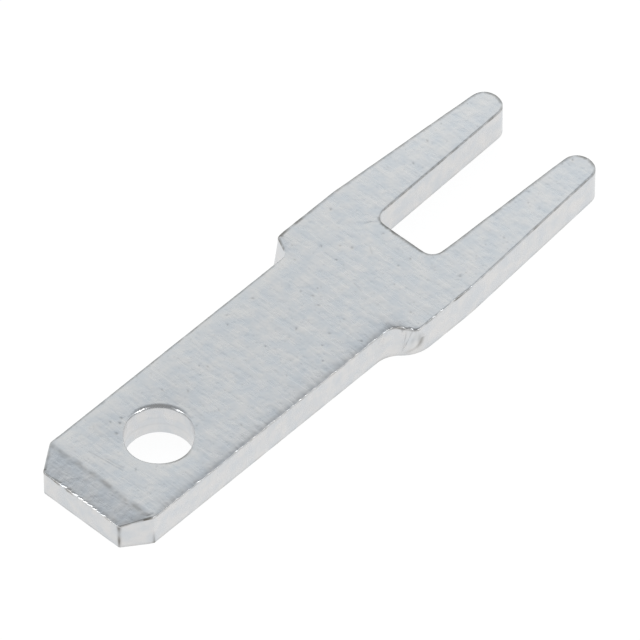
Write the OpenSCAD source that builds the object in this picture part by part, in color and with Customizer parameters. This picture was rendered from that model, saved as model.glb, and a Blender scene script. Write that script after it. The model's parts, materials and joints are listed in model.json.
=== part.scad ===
// Flat blade terminal: one stamping of tinned brass sheet.
// A narrow tab with a locking hole and a bevelled tip takes a push-on receptacle.
// Two prongs at the other end go into a printed circuit board as far as the slot's floor.
// It lies on its underside. +X runs from the tab's tip to the prongs, +Z is up,
// and the origin is in the middle of the underside.

/* [Sheet] */
// Thickness of the sheet
sheet_t = 0.8; // [0.5:0.05:1.2]
// Width and depth of the rolled edge that the punch leaves round the upper face
roll = 0.05; // [0.02:0.01:0.07]

/* [Tab] */
// Width of the tab
tab_w = 2.8; // [2.3:0.02:3.4]
// Length of the tab, from its tip to the corner where the shoulder starts
tab_len = 7.22; // [5.5:0.01:9]
// Length of each clipped corner, along the tab
clip_len = 0.59; // [0.3:0.01:0.8]
// Width of each clipped corner, across the tab
clip_w = 0.38; // [0.2:0.01:0.6]
// Radius that blunts both ends of the clip
clip_r = 0.1; // [0.08:0.01:0.15]

/* [Lead in] */
// Length of the bevel on the upper face
bevel_len = 0.55; // [0.3:0.01:1]
// Depth of that bevel at the tip
bevel_drop = 0.1; // [0.05:0.01:0.25]
// Length of the bevel on the underside
under_len = 0.5; // [0.3:0.01:1]
// Depth of that bevel at the tip
under_drop = 0.06; // [0.02:0.01:0.2]
// Radius that blunts the tip's upper and lower edges
nose_r = 0.04; // [0.02:0.01:0.1]

/* [Locking hole] */
// Diameter of the hole
hole_d = 1.4; // [0.8:0.02:1.6]
// Distance from the tip to the middle of the hole
hole_x = 2.19; // [1.6:0.01:3]
// Width and depth of the rolled edge round the top of the hole
hole_roll = 0.12; // [0.02:0.01:0.15]

/* [Shoulders] */
// Width over the shoulders
shoulder_w = 3.72; // [3.3:0.02:5]
// Length of the ramp that rises from the tab to a shoulder
ramp_len = 0.26; // [0.1:0.02:0.6]
// Radius of the hollow at the foot of the ramp
foot_r = 0.3; // [0.1:0.02:0.4]
// Radius of the shoulder's own corner
brow_r = 0.2; // [0.1:0.02:0.3]
// Length of the straight stretch behind the shoulder
flank_len = 1.64; // [0.6:0.02:3]

/* [Fork] */
// Distance from the top of the shoulder's ramp to the slot's floor
bridge_len = 1.7; // [1:0.02:4]
// Length of the prongs, from the slot's floor to their ends
prong_len = 4.06; // [2.5:0.02:6]
// Width over both prongs at their ends
fork_w = 3.18; // [2.6:0.02:3.7]
// Width of the slot at its floor
slot_w = 1.56; // [1.2:0.02:1.9]
// Width of the slot at its mouth
mouth_w = 1.8; // [1.4:0.02:2]
// Radius of the slot's two inner corners
slot_r = 0.25; // [0.1:0.01:0.5]
// Flat left in the middle of a prong's end, between its two rounded corners
end_flat = 0.06; // [0.05:0.01:0.4]

/* [Hidden] */
$fn = 96;

ramp_x = tab_len + ramp_len;
slot_x = ramp_x + bridge_len;
blade_len = slot_x + prong_len;
prong_w = (fork_w - mouth_w) / 2;
prong_r = (prong_w - end_flat) / 2;
// The edge rolls over further at an outer corner than along a side, and less in a hollow one
outer_share = 1.3;
hollow_share = 0.7;
// The rolled edge's radius for its width: a little flatter than a quarter circle
roll_bow = 1.3;
// How far a cut is run on past the stretch that it is meant for
over = 0.02;
// How far a drawn shape reaches past the sheet where nothing is left to cut
beyond = 1;
// How much larger the piece at a corner is drawn than its arc needs
corner_share = 1.5;

// One side of the outline, from the tip to the slot's floor: x, y, radius of each corner
side = [
  [0, -tab_w / 2 + clip_w, clip_r],
  [clip_len, -tab_w / 2, clip_r],
  [tab_len, -tab_w / 2, foot_r],
  [ramp_x, -shoulder_w / 2, brow_r],
  [ramp_x + flank_len, -shoulder_w / 2, 0],
  [blade_len, -fork_w / 2, prong_r],
  [blade_len, -mouth_w / 2, prong_r],
  [slot_x, -slot_w / 2, slot_r]
];
last = len(side) - 1;
outline = concat(side, [for (i = [last : -1 : 0]) [side[i].x, -side[i].y, side[i].z]]);

// The blade seen from its side: x, z, radius of each corner
// Past the tip its lines run on above and below the sheet, so that only the bevels cut
profile = [
  [0, under_drop, nose_r],
  [2 * under_len, -under_drop, 0],
  [blade_len + beyond, -under_drop, 0],
  [blade_len + beyond, sheet_t + bevel_drop, 0],
  [2 * bevel_len, sheet_t + bevel_drop, 0],
  [0, sheet_t - bevel_drop, nose_r]
];

// Where corner i of a list lies, and how its arc meets the sides before and after it
function corner(c, i) = c[(i + len(c)) % len(c)];
function place(c, i) = [corner(c, i).x, corner(c, i).y];
function radius(c, i) = corner(c, i).z;
function back(c, i) = let (v = place(c, i - 1) - place(c, i)) v / norm(v);
function ahead(c, i) = let (v = place(c, i + 1) - place(c, i)) v / norm(v);
function hollow(c, i) = cross(back(c, i), ahead(c, i)) > 0;
function half_angle(c, i) = acos(back(c, i) * ahead(c, i)) / 2;
function setback(c, i) = radius(c, i) / tan(half_angle(c, i));
function arc_start(c, i) = place(c, i) + back(c, i) * setback(c, i);
function arc_end(c, i) = place(c, i) + ahead(c, i) * setback(c, i);
function centre(c, i) =
  let (v = back(c, i) + ahead(c, i))
  place(c, i) + v / norm(v) * radius(c, i) / sin(half_angle(c, i));

// What an arc takes from an outer corner or adds to a hollow one, run on past both sides
module corner_piece(c, i) {
  middle = centre(c, i) - place(c, i);
  first = middle + corner_share * (back(c, i) * setback(c, i) - middle);
  second = middle + corner_share * (ahead(c, i) * setback(c, i) - middle);
  point = middle - corner_share * middle;
  translate(place(c, i))
    difference() {
      polygon(hollow(c, i) ? [middle, second, point, first] : [middle, first, point, second]);
      translate(middle)
        circle(radius(c, i));
    }
}

// A flat shape with an arc at each corner that has a radius
module rounded(c) {
  difference() {
    polygon([for (i = [0 : len(c) - 1]) place(c, i)]);
    for (i = [0 : len(c) - 1])
      if (radius(c, i) > 0 && !hollow(c, i))
        corner_piece(c, i);
  }
  for (i = [0 : len(c) - 1])
    if (radius(c, i) > 0 && hollow(c, i))
      corner_piece(c, i);
}

// Section of what a rolled edge leaves out: x is outward, and the upper face is at 0
module roll_section(size) {
  arc_r = roll_bow * size;
  arc_c = (size + sqrt(2 * arc_r * arc_r - size * size)) / 2;
  difference() {
    translate([-size, -size])
      square(2 * size);
    translate([-arc_c, -arc_c])
      circle(arc_r);
  }
}

// The rolled edge along the side that leaves corner i
module roll_side(i) {
  run = arc_start(outline, i + 1) - arc_end(outline, i);
  translate(concat(arc_end(outline, i), sheet_t))
    rotate([0, 0, atan2(run.y, run.x)])
      translate([-over, 0, 0])
        rotate([90, 0, 90])
          linear_extrude(norm(run) + 2 * over)
            mirror([1, 0])
              roll_section(roll);
}

// The rolled edge round the arc of corner i
module roll_arc(i) {
  inward = hollow(outline, i);
  first = (inward ? arc_end(outline, i) : arc_start(outline, i)) - centre(outline, i);
  translate(concat(centre(outline, i), sheet_t))
    rotate([0, 0, atan2(first.y, first.x)])
      rotate_extrude(angle = 180 - 2 * half_angle(outline, i))
        translate([radius(outline, i), 0])
          mirror([inward ? 1 : 0, 0])
            roll_section((inward ? hollow_share : outer_share) * roll);
}

// The rolled edge round the top of the hole
module roll_hole() {
  translate([hole_x, 0, sheet_t])
    rotate_extrude()
      translate([hole_d / 2, 0])
        mirror([1, 0])
          roll_section(hole_roll);
}

// The sheet as the punches leave it: outline and hole, before the edges
module blank() {
  linear_extrude(sheet_t)
    difference() {
      rounded(outline);
      translate([hole_x, 0])
        circle(d = hole_d);
    }
}

// The blade's side view, drawn out across its whole width
module tip_profile() {
  width = shoulder_w + 2 * beyond;
  translate([0, width / 2, 0])
    rotate([90, 0, 0])
      linear_extrude(width)
        rounded(profile);
}

module blade() {
  color("silver")
    translate([-blade_len / 2, 0, 0])
      difference() {
        intersection() {
          blank();
          tip_profile();
        }
        for (i = [0 : len(outline) - 1]) {
          roll_side(i);
          if (radius(outline, i) > 0)
            roll_arc(i);
        }
        roll_hole();
      }
}

blade();
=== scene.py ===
# %% [markdown]
# # A flat blade terminal in tinned brass
#
# The object is one small stamping, 13 mm long: a tab with a locking hole, two shoulders and two prongs.
# It is cut from brass sheet and plated with bright tin, so nearly all of its character is in two things.
# One is the shape of its edges, where the punch has drawn the metal down before it cut it.
# The other is what the tin mirrors: a white table, a soft sky, two low lamps and a dark room.
#
# The script first loads the model as a fixed frame.
# That model could be shown as it is, but its edges are perfectly even, and bright metal shows every edge.
# So the script builds the stamping again as a finer mesh with its wear, gives it the tin, and lights it.

# %% Load the frame
import json
import math
import bpy
import numpy as np
from numpy.linalg import norm
from mathutils import Matrix, Vector, kdtree, noise
from mathutils.geometry import delaunay_2d_cdt


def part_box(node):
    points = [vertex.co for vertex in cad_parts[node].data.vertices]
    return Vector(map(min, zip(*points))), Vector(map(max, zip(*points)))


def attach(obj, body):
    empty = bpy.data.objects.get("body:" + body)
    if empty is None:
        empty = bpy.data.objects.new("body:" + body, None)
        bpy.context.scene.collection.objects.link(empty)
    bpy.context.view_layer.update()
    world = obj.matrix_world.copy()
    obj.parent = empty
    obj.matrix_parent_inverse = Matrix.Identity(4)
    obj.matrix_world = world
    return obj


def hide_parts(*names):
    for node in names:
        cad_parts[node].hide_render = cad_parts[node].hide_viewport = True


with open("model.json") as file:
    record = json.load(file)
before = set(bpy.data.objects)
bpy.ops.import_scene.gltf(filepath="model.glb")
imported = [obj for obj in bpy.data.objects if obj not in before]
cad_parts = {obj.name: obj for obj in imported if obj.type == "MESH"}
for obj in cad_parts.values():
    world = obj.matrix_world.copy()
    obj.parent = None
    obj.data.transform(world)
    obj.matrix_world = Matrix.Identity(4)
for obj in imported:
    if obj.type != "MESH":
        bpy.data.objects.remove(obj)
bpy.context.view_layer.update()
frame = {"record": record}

# %% [markdown]
# ## Sizes
#
# Everything about the shape is worked out in millimetres, and turned to metres when the mesh is made.
# The overall sizes and the hole come from the frame, so the finer mesh can't drift away from the model.
# The other sizes repeat the model's own. They could be measured on it, but a name is easier to read.

# %% Sizes from the frame
MM = 0.001
low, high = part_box("blade")
tip_x, end_x = low.x / MM, high.x / MM
shoulder_half = high.y / MM
sheet = (high.z - low.z) / MM
hole = next(m for m in frame["record"]["mounts"] if m["name"] == "locking_hole")
hole_x = hole["pos_m"][0] / MM
hole_r = hole["dims"]["r_mm"]
hole_roll = sheet - hole["dims"]["length_mm"]
hole_middle = np.array([hole_x, 0])
print(f"blade {end_x - tip_x:.2f} x {2 * shoulder_half:.2f} x {sheet:.2f} mm, hole {2 * hole_r:.2f} mm")

# %% Sizes of the stamping
tab_half = 1.4
tab_length, ramp_length = 7.22, 0.26
bridge_length, flank_length = 1.7, 1.64
fork_half, slot_half, mouth_half = 1.59, 0.78, 0.9
clip_along, clip_across = 0.59, 0.38
bevel_length, bevel_drop = 0.55, 0.1
under_length, under_drop = 0.5, 0.06
foot_x = tip_x + tab_length
ramp_x = foot_x + ramp_length
flank_x = ramp_x + flank_length
slot_x = ramp_x + bridge_length
clip_x, clip_y = tip_x + clip_along, tab_half - clip_across
print(f"ramp from {foot_x:.2f} to {ramp_x:.2f} mm, slot from {slot_x:.2f} mm")

# %% [markdown]
# ## The outline
#
# The punch and die are ground with round corners, so the outline is straight stretches joined by arcs.
# It could be drawn as a Bezier curve, but the wall below needs the same number of points at every height.
# So each corner is listed with its radius at the upper edge, and with what changes down to the lower edge.
# That matters at the shoulders: the sheet tore there as it was cut, so both ramps lean towards the prongs.
# The near side is the one with negative y, which the camera sees.

# %% Radii of the corners, at the upper edge and at the lower edge
near_clip, far_clip = (0.1, 0.06), (0.1, 0.1)
near_foot, far_foot = (0.28, 0.62), (0.15, 0.5)
near_brow, far_brow = (0.12, 0.78), (0.1, 0.04)
flank_bend, prong_end = (2.0, 2.0), (0.335, 0.335)
near_slot, far_slot = (0.25, 0.25), (0.25, 0.45)
# How far a leaning ramp's corner lies along x from its true place, and how it moves down the wall
near_lean = 0.09
near_foot_shift, near_brow_shift = -0.043 - near_lean, 0.13 - near_lean
far_foot_lean, far_brow_lean = 0.05, 0.02
far_foot_shift, far_brow_shift = -0.09, -0.11
print(f"near brow moves {near_brow_shift:.2f} mm on its way down, far brow {far_brow_shift:.2f} mm")

# %% Corners, from the tip round the near side to the slot and back along the far side
coarse, fine, finest = 0.03, 0.02, 0.012


def corner(x, y, radii, shift=0.0, spacing=coarse):
    """One corner: place, two radii, move down the wall, and spacing of the points after it."""
    return x, y, *radii, shift, spacing


corners = np.array([
    corner(tip_x, -clip_y, near_clip),
    corner(clip_x, -tab_half, near_clip),
    corner(foot_x + near_lean, -tab_half, near_foot, near_foot_shift, finest),
    corner(ramp_x + near_lean, -shoulder_half, near_brow, near_brow_shift, fine),
    corner(flank_x, -shoulder_half, flank_bend),
    corner(end_x, -fork_half, prong_end),
    corner(end_x, -mouth_half, prong_end),
    corner(slot_x, -slot_half, near_slot),
    corner(slot_x, slot_half, far_slot),
    corner(end_x, mouth_half, prong_end),
    corner(end_x, fork_half, prong_end),
    corner(flank_x, shoulder_half, flank_bend),
    corner(ramp_x + far_brow_lean, shoulder_half, far_brow, far_brow_shift, fine),
    corner(foot_x + far_foot_lean, tab_half, far_foot, far_foot_shift, fine),
    corner(clip_x, tab_half, far_clip),
    corner(tip_x, clip_y, far_clip, spacing=finest),
])
near_foot_corner, near_brow_corner = 2, 3
print(len(corners), "corners")


# %% Arc at each corner
def unit(v):
    return v / norm(v)


def bends_at(depth):
    """For each corner at one depth: centre of its arc, first angle, turn, signed radius."""
    places = corners[:, :2] + np.outer(corners[:, 4] * depth, (1, 0))
    radii = corners[:, 2] + (corners[:, 3] - corners[:, 2]) * depth
    rows = []
    for i, here in enumerate(places):
        back = unit(places[i - 1] - here)
        ahead = unit(places[(i + 1) % len(places)] - here)
        half = math.acos(back @ ahead) / 2
        outer = back[0] * ahead[1] - back[1] * ahead[0] < 0
        centre = here + unit(back + ahead) * radii[i] / math.sin(half)
        turn = (math.pi - 2 * half) * (1 if outer else -1)
        first = math.atan2(back[0], -back[1])
        rows.append((centre, first, turn, radii[i] if outer else -radii[i]))
    return rows


arc_step, fewest_steps, ramp_steps = math.radians(7), 6, 16
arc_steps = [max(fewest_steps, round(abs(turn) / arc_step)) for _, _, turn, _ in bends_at(0)]
arc_steps[near_foot_corner] = arc_steps[near_brow_corner] = ramp_steps
line_steps = [
    max(1, round(float(norm(corners[(i + 1) % len(corners)][:2] - row[:2])) / row[5]))
    for i, row in enumerate(corners)
]
print("steps round each arc", arc_steps)

# %% Points along the outline at one depth
straight_enough = math.radians(10)


def trace_outline(depth):
    """Points, outward normals and bends of the outline. Depth is 0 at the top edge and 1 at the bottom."""
    rows = bends_at(depth)
    arcs, directions = [], []
    for (centre, first, turn, radius), steps in zip(rows, arc_steps):
        angles = first + turn * np.arange(steps + 1) / steps
        directions.append(np.stack([np.cos(angles), np.sin(angles)], 1))
        arcs.append(centre + directions[-1] * radius)
    points, normals, bends = [], [], []
    for i, arc in enumerate(arcs):
        following = arcs[(i + 1) % len(arcs)][0]
        shares = np.arange(1, line_steps[i])[:, None] / line_steps[i]
        points += [arc, arc[-1] + (following - arc[-1]) * shares]
        normals += [directions[i], np.repeat(directions[i][-1:], len(shares), 0)]
        turn = rows[i][2]
        sign = 0.0 if abs(turn) < straight_enough else math.copysign(1.0, turn)
        bends += [np.full(len(arc), sign), np.zeros(len(shares))]
    return np.concatenate(points), np.concatenate(normals), np.concatenate(bends)


outline, outline_normals, outline_bends = trace_outline(0)
steps_along = norm(np.diff(outline, axis=0, append=outline[:1]), axis=1)
outline_run = np.concatenate([[0], np.cumsum(steps_along)[:-1]])
brow = np.array((ramp_x + near_lean, -shoulder_half))
brow_run = outline_run[int(np.argmin(norm(outline - brow, axis=1)))]
print(f"outline {len(outline)} points, {steps_along.sum():.1f} mm round, brow at {brow_run:.2f} mm")

# %% [markdown]
# ## The hole's edge
#
# The pin that pierced the hole pulled a little metal with it on the near side, so it isn't quite round.
# A circle with a dent pushed in by hand would do, but the edge must stay smooth to mirror smoothly.
# So the circle's radius grows by a rule, most on the near side and only in the upper third of the wall.

# %% Points round the hole
away_from_camera = np.array((0.73, 0.68))
hole_steps = 144
hole_pull, pulled_thirds = 0.04, 3
pull_gain, pull_start = 1.5, 0.3


def trace_hole(depth):
    """The hole's wall as a loop that runs the other way round, so that its normals point into the hole."""
    angles = -np.linspace(0, 2 * math.pi, hole_steps, endpoint=False)
    directions = np.stack([np.cos(angles), np.sin(angles)], 1)
    near = np.clip(pull_gain * directions @ -away_from_camera - pull_start, 0, 1)
    pulled = hole_pull * max(0, 1 - pulled_thirds * depth) * near
    return hole_middle + directions * (hole_r + pulled)[:, None], -directions, np.zeros(len(angles))


widest = norm(trace_hole(0)[0] - hole_middle, axis=1).max()
print(f"hole's radius {hole_r:.2f} mm, at most {widest:.3f} mm")

# %% [markdown]
# ## Marks of wear
#
# A loose part rubs against thousands of others, so it has pits and nicks wherever one looks closely.
# They could be painted as bump in the material, but a dent in the mesh is part of the shape itself.
# A few stand where the real part shows a large one, and the rest are scattered by a seeded rule.
# Scratches are the same dent drawn out along a line.

# %% Pits and scratches on the upper face
chosen_pits = [
    (6.35, -1.05), (2.1, 1.55), (1.65, 0.55), (0.0, -1.25),
    (-0.9, -1.05), (-4.65, 0.8), (-5.0, 0.6), (-5.1, 0.25),
]
scratches = [
    ((-5.7, 0.65), (-5.6, -0.15)), ((-5.6, 0.3), (-5.55, -0.1)), ((1.9, 0.3), (1.8, 0.15)),
    ((1.0, -0.1), (0.95, -0.35)), ((2.3, 0.8), (2.4, 0.75)), ((2.4, 0.75), (2.55, 0.6)),
]
scratch_radius, scratch_depth, scratch_dirt = 0.022, 0.004, 0.12
gouge = ((-6.09, -1.3), (-5.98, -1.34))
gouge_radius, gouge_depth = 0.035, 0.008
free_at_tip, free_at_end = 0.7, 0.3


def scattered_pits(count, seed):
    """Pits at random places, always the same ones."""
    random = np.random.default_rng(seed)
    x = random.uniform(tip_x + free_at_tip, end_x - free_at_end, count)
    y = shoulder_half * random.uniform(-1, 1, count)
    return np.column_stack([x, y])


deep_pits = np.concatenate([chosen_pits, scattered_pits(14, 3)])
pit_kinds = (
    # places, radius, depth, dirt, rings of mesh points that follow the dent
    (deep_pits, 0.033, 0.008, 0.24, 3),
    (scattered_pits(60, 4), 0.026, 0.005, 0.28, 2),
    (scattered_pits(420, 5), 0.02, 0.002, 0.13, 1),
)
print("pits of each kind", [len(kind[0]) for kind in pit_kinds], "scratches", len(scratches))


# %% Distances, and how a mark falls off with them
def distance_to_line(points, first, last):
    first, last = np.array(first), np.array(last)
    run = last - first
    share = np.clip((points - first) @ run / (run @ run), 0, 1)
    return norm(points - first - share[:, None] * run, axis=1)


def distance_to(points, place):
    return norm(points - place, axis=1)


def fading(distance, reach, power=2):
    """1 at no distance, and falling smoothly to nothing past the reach."""
    return np.exp(-((distance / reach) ** power))


def dent(distance, radius):
    """A round dent that is nearly level again at its radius."""
    return fading(distance, 0.6 * radius)


print(f"dent at half its radius {dent(0.5, 1.0):.2f}, at its radius {dent(1.0, 1.0):.2f}")

# %% Depth of all the marks at each point
pit_angles, pit_stretches, pit_sizes = (0.5, 2.6), (1.0, 2.2), (0.7, 1.3)
pit_span = 4


def marks(points):
    """Depth of the marks in mm, and how dirty each point is from 0 to 1."""
    random = np.random.default_rng(11)
    depth, dirt_and_shade = np.zeros(len(points)), np.zeros(len(points))
    for places, radius, deep, dirty, _ in pit_kinds:
        for place in places:
            angle, stretch = random.uniform(*pit_angles), random.uniform(*pit_stretches)
            size = random.uniform(*pit_sizes)
            along = np.array((math.cos(angle), math.sin(angle)))
            offset = points - place
            near = np.abs(offset).max(1) < pit_span * radius
            run = offset[near] @ along / stretch
            side = offset[near] @ np.array((-along[1], along[0]))
            hollow = dent(np.hypot(run, side), radius * size)
            depth[near] += deep * hollow
            dirt_and_shade[near] = np.maximum(dirt_and_shade[near], dirty * hollow)
    for first, last in scratches:
        hollow = dent(distance_to_line(points, first, last), scratch_radius)
        depth += scratch_depth * hollow
        dirt_and_shade = np.maximum(dirt_and_shade, scratch_dirt * hollow)
    return depth + gouge_depth * dent(distance_to_line(points, *gouge), gouge_radius), dirt_and_shade


print(f"first pit {marks(np.array(chosen_pits[:1]))[0][0]:.4f} mm deep")

# %% [markdown]
# ## Faces of the sheet
#
# The two faces are flat sheet with a coined bevel at the tip, and they droop a little towards every cut edge.
# Modifiers could bend and bevel a flat face, but each would move points that the others rely on.
# A height for each point of the plan gives all of that at once: flat sheet, less the bevel, less the droop.
# The bevel's knee is soft, because coining squeezes the metal and doesn't cut it.
# Rolled sheet isn't a perfect mirror either, so a slow wave stays in it.


# %% Smooth steps, soft knees and slow noise
def step_up(value, first, last):
    """Rises smoothly from 0 at first to 1 at last."""
    share = np.clip((value - first) / (last - first), 0, 1)
    return share * share * (3 - 2 * share)


def soft_ramp(value, knee):
    """Zero below 0 and the value itself above 0, with a soft knee between."""
    return knee * np.logaddexp(0, value / knee)


def wander(points, scale, seed):
    """Smooth noise from about -1 to 1, with features about scale millimetres across."""
    return np.array([noise.noise(Vector((x / scale, y / scale, seed))) for x, y in points])


knee_softness = 0.004
print(f"soft knee {soft_ramp(0, knee_softness):.4f} mm below a sharp one")

# %% Bevels at the tip
knee_swing, knee_wander, knee_wander_scale = 0.01, 0.035, 0.3


def knee_place(points):
    """Distance from the tip to the bevel's knee, which wavers a little across the blade."""
    y = points[:, 1]
    across = np.column_stack([np.full(len(y), 0.11), y + 0.07])
    swing = knee_swing * np.sin(3.1 * y + 1)
    return bevel_length + swing + knee_wander * wander(across, knee_wander_scale, 3.4)


def bevel(from_tip, length, drop):
    """How far a bevel lies below the face that it starts from."""
    return soft_ramp(drop * (1 - from_tip / length), knee_softness)


print(f"bevel {bevel(0.0, bevel_length, bevel_drop):.3f} mm deep at the tip")

# %% Droop towards the outline and the hole
outline_tree = kdtree.KDTree(len(outline))
for i, point in enumerate(outline):
    outline_tree.insert((*point, 0), i)
outline_tree.balance()
droop_reach, near_droop, far_droop, far_shoulder_droop = 0.16, 0.045, 0.036, 0.008
shoulder_from, shoulder_to = 0.5, 1.1
droop_at_tip, tip_from, tip_to = 0.3, tip_x + 0.5, tip_x + 1.0
dish_reach, dish_depth, near_dish_depth = 0.25, 0.014, 0.02


def edge_distances(points):
    return np.array([outline_tree.find((*point, 0))[2] for point in points])


def droop(points, edge_distance):
    """How far the face has sunk near the outline: most along the tab, least on shoulders and bevel."""
    x, y = points.T
    on_shoulder = step_up(x, shoulder_from, shoulder_to)
    near = near_droop - near_droop * on_shoulder
    far = far_droop - (far_droop - far_shoulder_droop) * on_shoulder
    off_bevel = droop_at_tip + (1 - droop_at_tip) * step_up(x, tip_from, tip_to)
    return np.where(y < 0, near, far) * off_bevel * fading(edge_distance, droop_reach, 1)


def dish(points):
    """How far the face has sunk round the hole, more on the near side."""
    spoke = points - hole_middle
    spoke_length = np.maximum(norm(spoke, axis=1), hole_r)
    near = step_up(-(spoke @ away_from_camera) / spoke_length, 0.0, 0.7)
    return (dish_depth + near_dish_depth * near) * fading(spoke_length - hole_r, dish_reach, 1)


print(f"dish beside the hole {dish(hole_middle + [(0, -hole_r)])[0]:.3f} mm")

# %% Height and dirt of the two faces
wave_depth, wave_scale = 0.0015, 1.3
knee_line_width, knee_line_depth, knee_line_dirt = 0.055, 0.003, 0.36
edge_stain_width, edge_stain_dirt = 0.07, 0.3


def blotches(points):
    """Uneven dirt: large and small patches, nowhere quite clean."""
    return np.clip(0.7 + 0.6 * wander(points, 0.17, 2.3) + 0.6 * wander(points, 0.08, 4.3), 0.3, 1)


def upper_face(points):
    """Height of the upper face, and its dirt."""
    x, y = points.T
    edge_distance = edge_distances(points)
    from_tip = x - tip_x
    knee = knee_place(points)
    patchy = blotches(points)
    knee_line = fading(from_tip - knee, knee_line_width) * patchy
    on_near_tab = (y < 0) * (1 - step_up(x, shoulder_from, shoulder_to))
    edge_stain = edge_stain_dirt * patchy * fading(edge_distance, edge_stain_width) * on_near_tab
    mark_depth, dirt_and_shade = marks(points)
    wave = wave_depth * (1 + wander(points, wave_scale, 7.0))
    sunk = droop(points, edge_distance) + dish(points)
    height = sheet - bevel(from_tip, knee, bevel_drop) - sunk - wave
    height = height - mark_depth - knee_line_depth * knee_line
    return height, np.maximum(dirt_and_shade, np.maximum(knee_line_dirt * knee_line, edge_stain))


def lower_face(points):
    return bevel(points[:, 0] - tip_x, under_length, under_drop)


print(f"upper face beside the hole at {upper_face(hole_middle + [(1.5, 0)])[0][0]:.4f} mm")

# %% [markdown]
# ## The cut wall
#
# A punched wall isn't smooth: the shear drags fine upright lines down it, and it tore the near brow.
# A bump pattern could draw the lines, but not the torn place, whose fold throws a real shadow.
# So both are relief in the mesh: for each point, how far it lies inside the outline and how dirty it is.
# Painted shade darkens the fold, the foot and the near clip's corners as well.

# %% Relief, dirt and painted shade of the outer wall
line_scale, line_depth = 0.11, 0.003
rib_scale, rib_height_scale, rib_depth = 0.04, 0.35, 0.013
tear_middle, tear_reach = -0.1, 0.17
fold_line = [(0.05, 0.44), (0.025, 0.3), (0.0, 0.2), (-0.03, 0.12), (-0.06, 0.04)]
# The fold's darkening is painted shade along the crease
fold_width, fold_depth, painted_fold_shade = 0.014, 0.01, 0.4
# The foot gets a line of painted shade where the wall meets the table
painted_foot_shade, tip_wall_dirt = 0.25, 0.04


def along_outline(scale, seed, height=0.0, height_scale=1.0):
    """Noise along the outline, with features about scale millimetres long."""
    height = np.broadcast_to(height, len(outline_run))
    places = zip(outline_run / scale, height / height_scale)
    return np.array([noise.noise(Vector((along, above, seed))) for along, above in places])


def wall_relief(share, height):
    """How far the wall lies inside its outline at one depth, its dirt and its painted shade."""
    along = outline_run - brow_run
    near_side = outline[:, 1] < 0
    lines = along_outline(line_scale, 2.0, height, 1.2)
    ribs = along_outline(rib_scale, 5.0, height, rib_height_scale)
    torn = fading(along - tear_middle, tear_reach, 4) * near_side
    places = np.column_stack([along, height])
    to_fold = np.min([distance_to_line(places, a, b) for a, b in zip(fold_line[:-1], fold_line[1:])], axis=0)
    fold = fading(to_fold, fold_width) * near_side
    inside = line_depth * (0.5 + 0.5 * lines) + rib_depth * torn * (0.6 + ribs) + fold_depth * fold
    taper = 4 * share * (1 - share)
    torn_dirt = torn * (0.12 + 0.6 * ribs) * (0.3 + 1.1 * height)
    stain_and_fold_shade = np.clip(torn_dirt + painted_fold_shade * fold, 0, 1) * taper
    # Painted shade along the foot, broken by noise
    foot = painted_foot_shade * step_up(share, 0.9, 1.0) * np.clip(0.6 + along_outline(0.3, 8.0), 0, 1)
    tip_walls = tip_wall_dirt * (outline[:, 0] < clip_x)
    return inside * taper, np.maximum(stain_and_fold_shade, foot) + painted_corner_shade(share) + tip_walls


def painted_corner_shade(share):
    """Upright lines of painted shade at the near clip's corners: one all the way down, one only near the
    foot.
    """
    first = fading(distance_to(outline, (tip_x, -clip_y)), 0.045)
    second = fading(distance_to(outline, (clip_x, -tab_half)), 0.035)
    return 0.8 * first * (0.7 + 0.3 * math.cos(9 * share)) + 0.6 * second * max(0, 2 * share - 1)


middle_relief, middle_dirt_and_shade = wall_relief(0.5, np.full(len(outline), sheet / 2))
print(f"wall relief up to {middle_relief.max():.3f} mm, dirt up to {middle_dirt_and_shade.max():.2f}")

# %% [markdown]
# ## Worn edges and painted shade
#
# Along the upper edge the tin is rubbed thin, and broken dark lines outline the part: partly worn tin, partly
# painted shade.
# A pointiness mask in the material could find the edges, but it would darken all of them alike.
# So each stretch of wear and painted shade is listed with how dark it is, and slow noise along the edge
# breaks it up.

# %% Stretches of edge where the tin is worn and shade is painted
slot_corner, prong_tip = 0.25, 0.25
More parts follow.
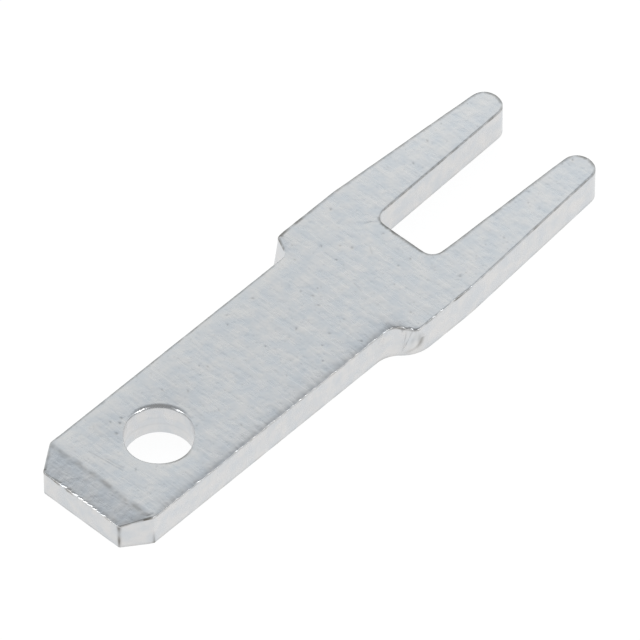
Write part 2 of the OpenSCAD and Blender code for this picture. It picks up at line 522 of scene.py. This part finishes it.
# The dark stretches are partly wear and partly painted shade, and they also make the edge rough
worn_and_shaded_edges = [
    # from, to, how dark from 0 to 1: first the slot and the prongs
    ((slot_x + slot_corner, slot_half), (end_x - prong_tip, mouth_half), 0.6),
    ((slot_x, -0.5), (slot_x, 0.55), 0.55),
    ((slot_x, 0.55), (slot_x + slot_corner, slot_half), 0.6),
    ((slot_x, -0.55), (slot_x + 0.3, -slot_half), 0.5),
    ((slot_x + 0.3, -slot_half), (end_x - prong_tip, -mouth_half), 0.3),
    ((2.9, -1.83), (4.4, -1.73), 0.4),
    ((4.4, -1.73), (end_x - 0.2, -fork_half), 0.6),
    ((end_x, -fork_half), (end_x, -mouth_half), 0.45),
    ((end_x, fork_half), (end_x, mouth_half), 0.45),
    ((2.6, shoulder_half), (end_x - 0.2, fork_half), 0.3),
    # the far side
    ((0.95, shoulder_half), (1.75, shoulder_half), 0.5),
    ((1.75, shoulder_half), (2.6, shoulder_half), 0.3),
    ((foot_x + 0.1, tab_half + 0.2), (ramp_x, shoulder_half), 0.8),
    ((clip_x, tab_half), (0.2, tab_half), 0.3),
    ((tip_x, clip_y), (clip_x, tab_half), 0.3),
    # the near side
    ((clip_x, -tab_half), (0.4, -tab_half), 0.3),
    ((foot_x + 0.07, -tab_half), (foot_x + 0.2, -1.6), 0.6),
    ((foot_x + 0.2, -1.6), brow, 0.4),
    (brow, (2.9, -1.83), 0.15),
    ((1.25, -shoulder_half), (1.45, -shoulder_half), 0.6),
    ((2.1, -shoulder_half), (2.25, -1.85), 0.7),
    ((2.35, -1.85), (2.45, -1.85), 0.5),
    # the tip
    ((tip_x, -clip_y), (clip_x, -tab_half), 0.4),
    ((-6.15, -1.35), (-6.0, -1.4), 1.0),
    ((tip_x, -1.0), (tip_x, -0.7), 0.35),
    ((tip_x, -0.6), (tip_x, 0.1), 0.1),
    ((tip_x, 0.3), (tip_x, 0.36), 0.6),
    ((tip_x, 0.66), (tip_x, 1.0), 0.75),
]
wear_and_shade_reach = 0.1


def wear_and_shade_at(points):
    """How worn and shaded each point is: the strength of the strongest stretch that it lies on."""
    wear_and_shade = np.zeros(len(points))
    for first, last, strength in worn_and_shaded_edges:
        wear_and_shade = np.maximum(wear_and_shade, strength * fading(distance_to_line(points, first, last), wear_and_shade_reach, 4))
    return wear_and_shade


broken = np.clip(0.85 + 0.8 * along_outline(0.22, 6.0) + 0.4 * along_outline(0.07, 3.0), 0.2, 1.2)
outline_wear_and_shade = np.clip(wear_and_shade_at(outline) * broken, 0, 1)
print(len(worn_and_shaded_edges), "worn stretches, the darkest", outline_wear_and_shade.max())

# %% [markdown]
# ## Nicks, chips and teeth
#
# Other parts have knocked small nicks into the near edge, the torn brow has chips, and the tip has teeth.
# The teeth come from the cutter: each is a ramp and then a step, and the steps mirror the lamps as specks.
# Each could be cut out with a Boolean, but cuts this small would leave ragged triangles.
# So they are depths along the edge, which the rolled edge and the top of the wall follow.


# %% Nicks and chips in the near edge
def nicks_between(first, last, count, seed):
    """Small nicks at random places on a stretch of the edge."""
    random = np.random.default_rng(seed)
    shares = random.uniform(0, 1, count)
    return [(*(np.array(first) + s * (np.array(last) - first)), random.uniform(0.022, 0.04)) for s in shares]


# Each nick is x, y, radius
nicks = [
    (1.63, -1.86, 0.045), (2.0, -1.86, 0.065), (2.13, -1.86, 0.04), (1.4, -1.86, 0.04), (1.3, -1.86, 0.03),
]
nicks += nicks_between((-5.9, -tab_half), (0.3, -tab_half), 34, 4)
nicks += nicks_between((2.3, -1.85), (6.2, -1.6), 14, 6)
# Each chip is x, y, half of its length, slope of its two sides
chips = [(0.45, -1.4, 0.05, 0.2), (0.7, -1.44, 0.05, 0.4), (0.78, -1.57, 0.08, 0.4), (0.87, -1.74, 0.06, 0.4)]
nick_slope = 0.3
outline_nicks = np.zeros(len(outline))
for x, y, radius in nicks:
    distance = distance_to(outline, (x, y))
    outline_nicks = np.maximum(outline_nicks, nick_slope * radius * fading(distance, radius))
for x, y, half_length, slope in chips:
    distance = distance_to(outline, (x, y))
    outline_nicks = np.maximum(outline_nicks, slope * (half_length - distance))
print(f"{len(nicks)} nicks and {len(chips)} chips, deepest {outline_nicks.max():.4f} mm")

# %% Teeth in the tip's edge
tooth_lengths, longest_gap, tooth_slope = (0.06, 0.16), 0.05, 0.15
teeth_from, teeth_to = -0.76, 0.55


def teeth(y, seed):
    """Depth of the small slanted teeth that the worn cutter left, each a ramp and then a step."""
    random = np.random.default_rng(seed)
    depth = np.zeros(len(y))
    start = teeth_from
    while start < teeth_to:
        length = random.uniform(*tooth_lengths)
        inside = (y >= start) & (y < start + length)
        depth[inside] = tooth_slope * (start + length - y[inside])
        start += length + random.uniform(0, longest_gap)
    return depth


on_tip = outline[:, 0] < tip_x + 0.001
outline_nicks[on_tip] = teeth(outline[on_tip, 1], 3)
print(f"deepest tooth {outline_nicks[on_tip].max():.4f} mm")

# %% [markdown]
# ## The edge's section
#
# Every cut edge has the same section: a rolled upper edge, the wall, and a small sharp foot.
# A Bevel modifier rounds edges too, but by one amount, and it can't follow a wall that leans and tears.
# So the section is carried round the outline as rings of points, one ring for each step down the wall.
# One ring more lies just inside on each face, to keep the face's shading flat up to the edge.

# %% Rings over the rolled edge, down the wall and round the foot
margin, foot_size, foot_steps = 0.01, 0.012, 3
# How much of the wear and painted shade goes on the inset ring of far edges and on top of near edges
inset_wear_and_shade, near_wear_and_shade_on_top = 0.8, 0.3
lean_power, nick_power = 1.2, 8


def make_ring(points, height, dirt_and_shade):
    return np.column_stack([points, height]), np.broadcast_to(dirt_and_shade, len(points))


def roll_rings(trace, roll, bow, steps, wear_and_shade, nick):
    """Rings from the upper face over the rolled edge, and the height from which the roll starts."""
    top, normals, _ = trace(0)
    far = normals @ away_from_camera > 0
    inset = top - normals * (roll + margin)[:, None]
    inset_height, inset_dirt = upper_face(inset)
    rings = [make_ring(inset, inset_height, np.maximum(inset_dirt, inset_wear_and_shade * wear_and_shade * far))]
    crown, _ = upper_face(top - normals * roll[:, None])
    for step in range(steps + 1):
        angle = math.pi / 2 * step / steps
        across = roll * (1 - math.sin(angle) ** bow)
        down = roll * (1 - max(0.0, math.cos(angle)) ** bow)
        cut = nick * math.sin(angle)
        # Wear and painted shade show fully on far edges, and on near ones mostly lower down the roll
        shown = np.where(far, 1.0, near_wear_and_shade_on_top + (1 - near_wear_and_shade_on_top) * math.sin(angle) ** 2)
        rings.append(make_ring(top - normals * (across + cut)[:, None], crown - down - cut, wear_and_shade * shown))
    return rings, crown


def upright_rings(trace, relief, roll, crown, steps, nick):
    """Rings down the wall, where the nicks run out and the relief begins."""
    base = lower_face(trace(0)[0])
    rings = []
    for step in range(1, steps):
        share = step / steps
        height = crown - roll + (base + foot_size - crown + roll) * share
        inside, dirt_and_shade = relief(share, height)
        points, outward, _ = trace(share ** lean_power)
        nick_left = nick * (1 - share) ** nick_power
        cut = np.broadcast_to(inside + nick_left, len(points))
        rings.append(make_ring(points - outward * cut[:, None], height - nick_left, dirt_and_shade))
    return rings


def foot_rings(trace, relief):
    """Rings round the foot, and one on the lower face."""
    foot, normals, _ = trace(1)
    base = lower_face(foot)
    _, dirt_and_shade = relief(1.0, base)
    rings = []
    for step in range(foot_steps + 1):
        angle = math.pi / 2 * step / foot_steps
        points = foot - normals * foot_size * (1 - math.cos(angle))
        rings.append(make_ring(points, base + foot_size * (1 - math.sin(angle)), dirt_and_shade))
    inset = foot - normals * (foot_size + margin)
    return [*rings, make_ring(inset, lower_face(inset), 0.0)]


def edge_rings(trace, relief, roll, bow, wear_and_shade, nick, roll_steps, wall_steps):
    """All the rings of one cut edge from the upper face to the lower one, and their dirt and painted shade.
    """
    rings, crown = roll_rings(trace, roll, bow, roll_steps, wear_and_shade, nick)
    rings += upright_rings(trace, relief, roll, crown, wall_steps, nick)
    rings += foot_rings(trace, relief)
    return np.array([points for points, _ in rings]), np.array([dirt_and_shade for _, dirt_and_shade in rings])


# %% [markdown]
# ## The rolled edge
#
# The punch rolls the upper edge over before it cuts: further at outer corners, less in hollow ones.
# On the far side the roll mirrors the dark end of the room, so its width sets how dark that outline looks.
# One width all round would outline every place alike, so it is built up from what each place needs.

# %% Width of the rolled edge along the outline
roll_size, corner_roll_share = 0.027, 0.3
far_tab_share, far_fork_share, far_from = 0.45, 1.0, 0.1
tip_share = 1.2
# Each wide place is its middle, its reach and how much wider the roll is there
wide_places = (((0.8, -1.62), 0.25, 0.8), ((0.82, 1.7), 0.18, 0.3))
roll_wander, roll_wander_scale = 0.2, 0.3
smoothed_over = 7


def outline_rolls():
    x, y = outline.T
    roll = roll_size * (1 + corner_roll_share * outline_bends)
    far_share = np.where(x < foot_x + 0.1, far_tab_share, far_fork_share)
    roll = roll * (1 + far_share * (outline_normals @ away_from_camera > far_from))
    tip_middle = step_up(y, -0.75, 0.3) * (1 - step_up(y, 0.6, 0.85)) * (x < tip_x + 0.05)
    roll = roll * (1 + tip_share * tip_middle)
    for middle, reach, share in wide_places:
        roll = roll * (1 + share * fading(distance_to(outline, middle), reach, 4))
    roll = roll * (1 + roll_wander * wander(outline, roll_wander_scale, 1.0))
    side = smoothed_over // 2
    looped = np.concatenate([roll[-side:], roll, roll[:side]])
    return np.convolve(looped, np.ones(smoothed_over) / smoothed_over, "valid")


outline_roll = outline_rolls()
outer_rings, outer_dirt_and_shade = edge_rings(
    trace_outline, wall_relief, outline_roll, 1.0, outline_wear_and_shade, outline_nicks, roll_steps=8, wall_steps=21)
print(f"roll from {outline_roll.min():.3f} to {outline_roll.max():.3f} mm, rings {outer_rings.shape}")

# %% [markdown]
# ## The hole's rolled edge
#
# The pin rolls the hole's edge over much further than the outline's, most on the far side.
# There it shows as a dark crescent with a bright speck at each end, where the roll mirrors a lamp.
# A round section would spread the crescent evenly, so most of the turn is put close to the wall.

# %% Rolled edge and wall of the hole
far_roll_from, far_roll_to = 0.3, 0.85
side_roll, far_roll, near_roll = 0.08, 0.82, 0.19
hole_bow_drop = 0.25
# Painted shade darkens the roll on the near side of the hole, a little towards the tip
hole_shade_middle, hole_shade_reach, hole_shade_share = hole_middle + (-0.2, -0.75), 0.3, 0.5
# Each faint line is how far down the wall it lies, its width and its dirt
hole_lines = ((0.62, 0.03, 0.07), (0.36, 0.02, 0.05))


def hole_relief(share, height):
    """Two faint lines round the hole's wall, where the punch's cut gave way to the break."""
    return 0.0, sum(dirt_and_shade * fading(share - place, width) for place, width, dirt_and_shade in hole_lines)


hole_points, _, _ = trace_hole(0)
away = (hole_points - hole_middle) @ away_from_camera / hole_r
far_part = far_roll * step_up(away, far_roll_from, far_roll_to)
near_part = near_roll * step_up(-away, 0.1, 0.6)
hole_rolls = hole_roll * (side_roll + far_part + near_part)
hole_bow = 1 - hole_bow_drop * step_up(away, 0.2, 0.8)
hole_painted_shade = hole_shade_share * fading(distance_to(hole_points, hole_shade_middle), hole_shade_reach)
no_nicks = np.zeros(hole_steps)
hole_rings, hole_dirt_and_shade = edge_rings(
    trace_hole, hole_relief, hole_rolls, hole_bow, hole_painted_shade, no_nicks, roll_steps=14, wall_steps=30)
print(f"hole's roll from {hole_rolls.min():.3f} to {hole_rolls.max():.3f} mm, rings {hole_rings.shape}")

# %% [markdown]
# ## Closing the faces
#
# The two faces still need a skin between the outline's innermost ring and the hole's.
# A fan or a grid fill would leave long thin triangles, which show in a reflection.
# Evenly spread points and a Delaunay triangulation between the two rings give even ones.
# Round each mark the points lie closer together, so that the mesh can follow it.

# %% Extra points at the marks and along the bevel's knee
pit_point_reach = 1.4
scratch_step, scratch_rows = 0.02, (-0.03, -0.015, 0, 0.015, 0.03)
knee_step, knee_rows = 0.022, (-0.05, -0.03, -0.01, 0.01, 0.03, 0.05)


def points_round_pits():
    extra = []
    for places, radius, _, _, rings in pit_kinds:
        for place in places:
            extra.append(place)
            for ring in range(1, rings + 1):
                angles = np.linspace(0, 2 * math.pi, 6 * ring, endpoint=False)
                reach = pit_point_reach * radius * ring / rings
                extra += [(place[0] + reach * math.cos(a), place[1] + reach * math.sin(a)) for a in angles]
    return extra


def points_along_scratches():
    extra = []
    for first, last in [*scratches, gouge]:
        run = np.array(last) - np.array(first)
        side = unit(np.array((-run[1], run[0])))
        for share in np.linspace(0, 1, max(3, round(norm(run) / scratch_step))):
            extra += [tuple(np.array(first) + share * run + side * offset) for offset in scratch_rows]
    return extra


def points_along_knee():
    extra = []
    for y in np.arange(-tab_half, tab_half, knee_step):
        knee_x = tip_x + float(knee_place(np.array([(0, y)]))[0])
        extra += [(knee_x + offset, y) for offset in knee_rows]
    return extra


mark_points = points_round_pits() + points_along_scratches() + points_along_knee()
mark_points = np.unique(np.round(mark_points, 4), axis=0)
print(len(mark_points), "extra points")


# %% Skin between the rings
def inside_loop(points, loop):
    """Which points lie inside a closed loop, by counting how often a line from each crosses it."""
    x, y = points[:, 0], points[:, 1]
    crossings = np.zeros(len(points), int)
    for (x1, y1), (x2, y2) in zip(loop, np.roll(loop, -1, 0)):
        if y1 != y2:
            crossings += ((y1 > y) != (y2 > y)) & (x < x1 + (y - y1) * (x2 - x1) / (y2 - y1))
    return crossings % 2 == 1


def clear_of(points, others, distance):
    """Which points lie further than a distance from all the others."""
    tree = kdtree.KDTree(len(others))
    for i, (x, y) in enumerate(others):
        tree.insert((x, y, 0), i)
    tree.balance()
    return np.array([tree.find((x, y, 0))[2] > distance for x, y in points])


def even_points(spacing):
    """Points over the whole blade in staggered rows."""
    rows = np.arange(-shoulder_half, shoulder_half, spacing * math.sqrt(3) / 2)
    columns = np.arange(tip_x, end_x, spacing)
    return np.array([(x + spacing / 2 * (j % 2), y) for j, y in enumerate(rows) for x in columns])


def skin(outer, inner, spacing, extra):
    """The points between two loops, and the triangles that join them and the loops."""
    grid = even_points(spacing)
    if len(extra):
        grid = np.concatenate([grid[clear_of(grid, extra, 0.5 * spacing)], extra])
    grid = grid[inside_loop(grid, outer)]
    clear = clear_of(grid, outer, 0.4 * spacing) & clear_of(grid, inner, 0.4 * spacing)
    grid = grid[clear & ~inside_loop(grid, inner)]
    everything = np.concatenate([outer, inner, grid])
    n, m = len(outer), len(inner)
    edges = [(i, (i + 1) % n) for i in range(n)] + [(n + i, n + (i + 1) % m) for i in range(m)]
    found = delaunay_2d_cdt([Vector(p) for p in everything], edges, [], 0, 1e-7)
    assert len(found[0]) == len(everything)
    triangles = np.array(found[2])
    centres = everything[triangles].mean(1)
    keep = inside_loop(centres, outer) & ~inside_loop(centres, inner)
    return grid, triangles[keep]


upper_spacing, lower_spacing = 0.038, 0.12
upper_grid, upper_triangles = skin(outer_rings[0][:, :2], hole_rings[0][:, :2], upper_spacing, mark_points)
lower_grid, lower_triangles = skin(outer_rings[-1][:, :2], hole_rings[-1][:, :2], lower_spacing, [])
print(len(upper_triangles), "triangles on the upper face,", len(lower_triangles), "on the lower one")

# %% [markdown]
# ## One closed mesh
#
# Rings and skins share their border points, so the surface is closed and shades smoothly.
# Separate meshes could be merged by distance, but that also joins points that are only close together.
# So the faces are listed by point number, ring by ring and skin by skin.
# Each point also carries its dirt and painted shade, and the painted light on its tin, which the material
# reads.

# %% Painted light on the tin at each point
# Painted light: a brightness for the walls and one for the faces, with a painted sheen that grows towards the
# prongs
wall_painted_light, face_painted_light, fork_painted_sheen = 0.893, 0.886, 0.1
gain_from, gain_to = -1.5, 6.5
painted_shade_drop = 0.03
# Each spot of painted shade is its middle and its reach along and across the blade
painted_shade_spots = (((hole_x + 0.95, 0.45), (0.5, 0.35)), ((hole_x - 0.6, 0.85), (0.35, 0.35)))


def painted_light_on_tin(points, on_face):
    """Painted light: the walls have one brightness, the faces brighten towards the prongs, and two spots of
    painted shade darken them by the hole.
    """
    painted_shade = np.zeros(len(points))
    for middle, reach in painted_shade_spots:
        painted_shade += fading(points[:, 0] - middle[0], reach[0]) * fading(points[:, 1] - middle[1], reach[1])
    faces = face_painted_light + fork_painted_sheen * step_up(points[:, 0], gain_from, gain_to) - painted_shade_drop * painted_shade
    return np.where(on_face, faces, wall_painted_light)


print("painted_light", wall_painted_light, "on the walls,", face_painted_light + fork_painted_sheen, "at the prongs")


# %% Join rings and skins
def quads_between(rings, start):
    steps, count = rings.shape[:2]
    index = start + np.arange(steps * count).reshape(steps, count)
    across = np.roll(index, -1, 1)
    return np.stack([index[:-1], index[1:], across[1:], across[:-1]], -1).reshape(-1, 4).tolist()


def add_object(name, data):
    made = bpy.data.objects.new(name, data)
    bpy.context.scene.collection.objects.link(made)
    return made


def build_blade():
    outer_count, hole_count = outer_rings.shape[1], hole_rings.shape[1]
    hole_start = outer_dirt_and_shade.size
    upper_start = hole_start + hole_dirt_and_shade.size
    lower_start = upper_start + len(upper_grid)
    upper_height, upper_dirt = upper_face(upper_grid)
    points = np.concatenate([
        outer_rings.reshape(-1, 3),
        hole_rings.reshape(-1, 3),
        np.column_stack([upper_grid, upper_height]),
        np.column_stack([lower_grid, lower_face(lower_grid)]),
    ])
    dirt_and_shade = np.concatenate([outer_dirt_and_shade.ravel(), hole_dirt_and_shade.ravel(), upper_dirt, np.zeros(len(lower_grid))])
    # The number of each skin point in the mesh: the outer border, the inner border, then the grid
    outer_border, hole_border = np.arange(outer_count), np.arange(hole_count)
    upper = [outer_border, hole_start + hole_border, upper_start + np.arange(len(upper_grid))]
    lower = [hole_start - outer_count + outer_border, upper_start - hole_count + hole_border,
             lower_start + np.arange(len(lower_grid))]
    faces = quads_between(outer_rings, 0) + quads_between(hole_rings, hole_start)
    faces += np.concatenate(upper)[upper_triangles].tolist()
    faces += np.concatenate(lower)[lower_triangles[:, ::-1]].tolist()
    mesh = bpy.data.meshes.new("blade_skin")
    mesh.from_pydata((points * MM).tolist(), [], faces)
    mesh.validate()
    mesh.shade_smooth()
    on_face = np.zeros(len(points), bool)
    on_face[upper_start:] = True
    on_face[:2 * outer_count] = True
    on_face[hole_start:hole_start + 2 * hole_count] = True
    # One attribute holds dirt together with painted shade, the other the painted light on the tin
    for name, values in (("dirt_and_shade", dirt_and_shade), ("painted_light", painted_light_on_tin(points, on_face))):
        mesh.attributes.new(name, "FLOAT", "POINT").data.foreach_set("value", values.astype(np.float32))
    return add_object("tinned_blade", mesh)


blade = build_blade()
triangle_count = sum(len(face.vertices) - 2 for face in blade.data.polygons)
print("blade mesh", len(blade.data.vertices), "points", triangle_count, "triangles")

# %% [markdown]
# ## Handing the piece to the frame
#
# The mesh could be parented by hand, but the frame checks it: it rides on the model's one body,
# and stands in for the model's only node.
# Its slot takes the name of its real finish, tinned brass.

# %% Hand the piece to the frame
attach(blade, "root")
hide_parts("blade")
print(blade.name, "stands for the node blade")

# %% [markdown]
# ## Bright tin plating
#
# Tin is a white metal with a faint warm tinge, and a thin electroplated coat is bright but no mirror.
# The coat follows the rolled sheet beneath, so fine lines left by the rolling run across the blade.
# An image of scratched metal could be wrapped on, but noise that is stretched across the blade never repeats.
# The eye gets a soft, streaky reflection from it, faint cool and warm patches, and dull brown-grey dirt.
# Painted light and painted shade from the mesh also brighten and darken its colour.


# %% Material helpers
def linear(hex_colour):
    """An sRGB hex colour as the linear colour that the shader works with."""
    parts = [int(hex_colour[i:i + 2], 16) / 255 for i in (1, 3, 5)]
    return (*[c / 12.92 if c <= 0.04045 else ((c + 0.055) / 1.055) ** 2.4 for c in parts], 1)


def empty_tree(owner):
    """The node tree of a material or a world, emptied."""
    owner.use_nodes = True
    owner.node_tree.nodes.clear()
    return owner.node_tree


def add(tree, kind, settings=None, links=None):
    """Adds a shader node with its settings and links. A node as a link stands for its first output."""
    node = tree.nodes.new(kind)
    for name, value in (settings or {}).items():
        if isinstance(name, str) and hasattr(node, name):
            setattr(node, name, value)
        else:
            node.inputs[name].default_value = value
    for name, source in (links or {}).items():
        tree.links.new(source.outputs[0] if hasattr(source, "outputs") else source, node.inputs[name])
    return node


print("middle grey is", round(linear("#808080")[0], 3), "in linear light")

# %% Sizes and colours of the tin's patterns
# Rolling leaves fifty or more lines to a millimetre, but a pixel of the picture is 0.02 mm wide,
# so the lines are drawn coarser to show: nine to a millimetre, each about 0.7 mm long
lines_per_mm, line_ends_per_mm = 9, 1.4
# The tin's own grain is some hundredths of a millimetre, and it too is drawn coarser, 0.14 mm
grains_per_mm = 7
# The patches are as large as the real ones, about 0.3 mm
patches_per_mm = 3.5
bump_depth_mm = 0.009
# The brown stands both for dirt and for painted shade
cool_tin, warm_tin, dirt_and_shade_brown = linear("#D9DCDF"), linear("#E4E3E2"), linear("#5C574E")
smoothest, roughest, dirty_roughness = 0.22, 0.34, 0.65
print(f"rolling lines {1 / lines_per_mm:.2f} mm wide and {1 / line_ends_per_mm:.1f} mm long")


# %% Tin material
def bright_tin():
    """Bright tin electroplate on stamped brass: a metal with the default IOR, between polished and satin."""
    material = bpy.data.materials.new("bright_tin_plating_on_stamped_brass")
    tree = empty_tree(material)
    place = add(tree, "ShaderNodeTexCoord").outputs["Object"]
    stretched = (lines_per_mm / MM, line_ends_per_mm / MM, line_ends_per_mm / MM)
    lines_place = add(tree, "ShaderNodeMapping", {"Scale": stretched}, {"Vector": place})
    lines = add(tree, "ShaderNodeTexNoise", {"Scale": 1.0, "Detail": 3.0}, {"Vector": lines_place})
    grain = add(tree, "ShaderNodeTexNoise", {"Scale": grains_per_mm / MM, "Detail": 2.0}, {"Vector": place})
    patches = add(tree, "ShaderNodeTexNoise", {"Scale": patches_per_mm / MM, "Detail": 3.0},
                  {"Vector": place})
    warmth = add(tree, "ShaderNodeMapRange", {"From Min": 0.35, "From Max": 0.65}, {"Value": patches})
    colour = add(tree, "ShaderNodeMix", {"data_type": "RGBA", 6: cool_tin, 7: warm_tin}, {0: warmth})
    # Painted light: the mesh's brightness scales the tin's colour
    painted_light = add(tree, "ShaderNodeAttribute", {"attribute_name": "painted_light"}).outputs["Fac"]
    painted_light_colour = add(tree, "ShaderNodeMix", {"data_type": "RGBA", 6: linear("#000000")},
                {0: painted_light, 7: colour.outputs[2]})
    # Dirt and painted shade turn the colour brown-grey and the surface rough
    dirt_and_shade = add(tree, "ShaderNodeAttribute", {"attribute_name": "dirt_and_shade"}).outputs["Fac"]
    stained_and_shaded = add(tree, "ShaderNodeMix", {"data_type": "RGBA", 7: dirt_and_shade_brown}, {0: dirt_and_shade, 6: painted_light_colour.outputs[2]})
    clean = add(tree, "ShaderNodeMapRange", {"To Min": smoothest, "To Max": roughest}, {"Value": lines})
    rough = add(tree, "ShaderNodeMapRange", {"To Max": dirty_roughness}, {"Value": dirt_and_shade, "To Min": clean})
    both = add(tree, "ShaderNodeMath", {"operation": "ADD"}, {0: lines, 1: grain})
    bump = add(tree, "ShaderNodeBump", {"Strength": 1.0, "Distance": bump_depth_mm * MM}, {"Height": both})
    surface = {"Base Color": stained_and_shaded.outputs[2], "Roughness": rough, "Normal": bump}
    shader = add(tree, "ShaderNodeBsdfPrincipled", {"Metallic": 1.0}, surface)
    add(tree, "ShaderNodeOutputMaterial", None, {"Surface": shader})
    return material


blade.data.materials.append(bright_tin())
print(blade.name, "is", blade.data.materials[0].name)

# %% [markdown]
# ## Camera
#
# The photograph looks down on the part from the near side of its tip, through a long lens.
# A camera could be aimed by eye or by a Track To constraint, but here its angles were fitted to the outline.
# It is placed by three directions: back towards the camera, right and up, with a very small tilt.

# %% Camera
azimuth, elevation, tilt = math.radians(-46.66), math.radians(48.83), math.radians(-0.13)
distance = 215.06 * MM
pixels_per_mm, frame_pixels, sensor = 50.82, 640, 36.0
looked_at = Vector((0.38, 0, 0.4)) * MM
right_of_middle, above_middle = 0.1645 * MM, 0.1812 * MM
ground = math.cos(elevation)
back = Vector((math.sin(azimuth) * ground, -math.cos(azimuth) * ground, math.sin(elevation)))
level = Vector((math.cos(azimuth), math.sin(azimuth), 0))
right = level * math.cos(tilt) + back.cross(level) * math.sin(tilt)
up = back.cross(right)
camera = add_object("camera", bpy.data.cameras.new("camera"))
camera.data.sensor_width = sensor
camera.data.lens = pixels_per_mm * (distance / MM) / frame_pixels * sensor
camera.data.clip_start, camera.data.clip_end = 0.01, 10
spot = looked_at - right * right_of_middle - up * above_middle + back * distance
camera.matrix_world = Matrix((
    (right.x, up.x, back.x, spot.x),
    (right.y, up.y, back.y, spot.y),
    (right.z, up.z, back.z, spot.z),
    (0, 0, 0, 1),
))
bpy.context.scene.camera = camera
print(f"lens {camera.data.lens:.0f} mm at {distance / MM:.0f} mm")

# %% [markdown]
# ## Table
#
# The part lies on white paper that is lit so brightly that the photograph shows it pure white.
# More light would do that too, but it would burn out the tin, so the paper is grey under the lamps.
# A glow that only the camera, mirrors and glass see makes it white, and the part's shadow still darkens it.

# %% Table
table_half = 0.4
paper_grey = linear("#707070")
paper_glow = 0.93


def white_paper():
    """White paper, matt all over: a diffuse surface, with the glow added."""
    material = bpy.data.materials.new("white_paper")
    tree = empty_tree(material)
    paper = add(tree, "ShaderNodeBsdfDiffuse", {"Color": paper_grey})
    rays = add(tree, "ShaderNodeLightPath").outputs
    seen = add(tree, "ShaderNodeMath", {"operation": "ADD"},
               {0: rays["Is Camera Ray"], 1: rays["Is Glossy Ray"]})
    seen = add(tree, "ShaderNodeMath", {"operation": "ADD", "use_clamp": True},
               {0: seen, 1: rays["Is Transmission Ray"]})
    strength = add(tree, "ShaderNodeMath", {"operation": "MULTIPLY", 1: paper_glow}, {0: seen})
    glow = add(tree, "ShaderNodeEmission", None, {"Strength": strength})
    both = add(tree, "ShaderNodeAddShader", None, {0: paper, 1: glow})
    add(tree, "ShaderNodeOutputMaterial", None, {"Surface": both})
    return material


def make_table():
    half = table_half
    mesh = bpy.data.meshes.new("table")
    plan = [(-half, -half, 0), (half, -half, 0), (half, half, 0), (-half, half, 0)]
    mesh.from_pydata(plan, [], [(0, 1, 2, 3)])
    mesh.materials.append(white_paper())
    table = add_object("table", mesh)


make_table()
print("table", 2 * table_half, "m wide")

# %% [markdown]
# ## Sky and dark room
#
# The part stood in a light tent, brightest on the side opposite the camera and greyer towards it.
# Low behind the table it is open to the dark room, which the far edges mirror as thin dark outlines.
# Large lamps all round could stand for the tent, but a colour ramp over the sky is simpler and has no seams.
# The ramp runs from the point straight ahead of the camera, at 0, to the point behind it, at 1.

# %% Sky
sky_stops = (
    (0.0, "#505254"), (0.25, "#505254"),
    (0.36, "#FDFFFF"), (0.48, "#FDFFFF"),
    (0.57, "#F2F6F9"), (0.68, "#DCE1E6"), (0.78, "#B4B8BC"), (0.9, "#9C9EA0"),
)


def make_sky():
    world = bpy.data.worlds.new("studio")
    bpy.context.scene.world = world
    tree = empty_tree(world)
    place = add(tree, "ShaderNodeTexCoord")
    towards = add(tree, "ShaderNodeVectorMath", {"operation": "DOT_PRODUCT", 1: back},
                  {0: place.outputs["Generated"]})
    share = add(tree, "ShaderNodeMapRange", {"From Min": -1.0, "From Max": 1.0},
                {"Value": towards.outputs["Value"]})
    ramp = add(tree, "ShaderNodeValToRGB", None, {"Fac": share})
    while len(ramp.color_ramp.elements) < len(sky_stops):
        ramp.color_ramp.elements.new(1.0)
    for element, (position, colour) in zip(ramp.color_ramp.elements, sky_stops):
        element.position = position
        element.color = linear(colour)
    sky = add(tree, "ShaderNodeBackground", {"Strength": 1.0}, {"Color": ramp})
    add(tree, "ShaderNodeOutputWorld", None, {"Surface": sky})


make_sky()
print("sky with", len(sky_stops), "stops")

# %% [markdown]
# ## Lamps
#
# Two low lamps stand to the right and to the left. They light the upright walls and put the bright specks
# on nicks, teeth and the hole's roll. Sun lamps would give hard shadows, so they are small area lamps,
# close enough to be soft. A lamp's power is worked out from the brightness that its face should have.


# %% Lamps
def make_lamp(name, around_degrees, above_degrees, distance_mm, width_mm, height_mm, radiance):
    light = bpy.data.lights.new(name, "AREA")
    light.shape = "RECTANGLE"
    light.size, light.size_y = width_mm * MM, height_mm * MM
    light.energy = radiance * math.pi * light.size * light.size_y
    lamp = add_object(name, light)
    around, above = math.radians(around_degrees), math.radians(above_degrees)
    flat = math.cos(above)
    direction = Vector((math.cos(around) * flat, math.sin(around) * flat, math.sin(above)))
    lamp.location = direction * distance_mm * MM
    lamp.rotation_mode = "QUATERNION"
    lamp.rotation_quaternion = direction.to_track_quat("Z", "Y")
    print(name, f"{1000 * light.energy:.0f} mW")


lamp_height, lamp_distance, lamp_radiance = 14, 200, 8
make_lamp("right_lamp", -86, lamp_height, lamp_distance, 80, 50, lamp_radiance)
make_lamp("left_lamp", 166, lamp_height, lamp_distance, 50, 50, lamp_radiance)

# %% [markdown]
# ## Colour handling
#
# The photograph is a plain product picture. A film curve would soften its whites, so there is none.

# %% Colour handling
bpy.context.scene.view_settings.view_transform = "Standard"
print("view transform", bpy.context.scene.view_settings.view_transform)
